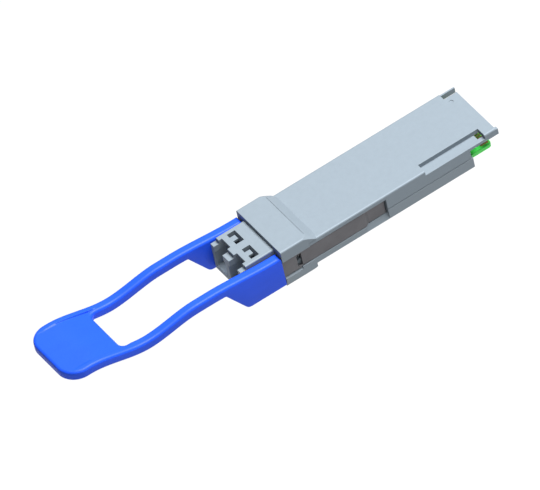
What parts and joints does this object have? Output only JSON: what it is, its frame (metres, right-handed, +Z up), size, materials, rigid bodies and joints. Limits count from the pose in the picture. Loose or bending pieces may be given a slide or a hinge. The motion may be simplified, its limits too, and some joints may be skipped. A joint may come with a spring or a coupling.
{
  "type": "optical transceiver module",
  "caption": "Pluggable optical transceiver module with a flat metal body, duplex optical port, card edge and sprung blue pull tab.",
  "frame": {"origin": "middle of the length and width, at the height of the nose's floor, the lowest face", "axes": "+X is the insertion direction, towards the card edge; +Y is towards the transmitter port; +Z is up, out of the heat-sink cover"},
  "size_m": [0.1204, 0.0186, 0.0123],
  "materials": {
    "die_cast_upper": "satin nickel-plated zinc die casting",
    "die_cast_lower": "satin nickel-plated zinc die casting",
    "port_metal": "satin plated receptacle block",
    "slider_steel": "bare stamped stainless sheet, dull",
    "blue_plastic": "semi-gloss moulded plastic with a fine texture",
    "spring_wire": "drawn wire",
    "green_board": "green solder mask over glass epoxy",
    "gold_contacts": "hard gold plate",
    "optics_package": "gold-plated package",
    "barrel_steel": "turned stainless",
    "zirconia": "ground zirconia",
    "ferrule_ceramic": "polished zirconia",
    "clamp_steel": "stamped stainless",
    "flex_polyimide": "amber polyimide film",
    "chip_epoxy": "black moulded epoxy",
    "ferrite": "pressed ferrite",
    "capacitor_ceramic": "sintered ceramic",
    "thermal_pad": "silicone gap pad",
    "gasket_rubber": "silver-filled elastomer",
    "screw_steel": "machine screw, plain"
  },
  "bodies": {
    "module_body": {"top_shell": "die_cast_upper", "bottom_shell": "die_cast_lower", "port_block": "port_metal", "left_spring": "spring_wire", "right_spring": "spring_wire", "circuit_board": "green_board", "upper_contacts": "gold_contacts", "lower_contacts": "gold_contacts", "transmitter_box": "optics_package", "receiver_box": "optics_package", "transmitter_barrel": "barrel_steel", "receiver_barrel": "barrel_steel", "transmitter_sleeve": "zirconia", "receiver_sleeve": "zirconia", "transmitter_stub": "ferrule_ceramic", "receiver_stub": "ferrule_ceramic", "barrel_clamp": "clamp_steel", "transmitter_flex": "flex_polyimide", "receiver_flex": "flex_polyimide", "retimer_chip": "chip_epoxy", "driver_chip": "chip_epoxy", "controller_chip": "chip_epoxy", "power_inductors": "ferrite", "ceramic_capacitors": "capacitor_ceramic", "chip_thermal_pad": "thermal_pad", "optics_thermal_pads": "thermal_pad", "emi_gasket": "gasket_rubber", "shell_screws": "screw_steel"},
    "release_latch": {"latch_slider": "slider_steel", "pull_tab": "blue_plastic"}
  },
  "joints": [
    {"name": "latch_pull", "type": "slide", "parent": "module_body", "child": "release_latch", "axis": [-1, 0, 0], "range_m": [0, 0.002], "stiffness_N_per_m": 1000, "springref_m": -0.002, "deforming": ["left_spring", "right_spring"]}
  ]
}
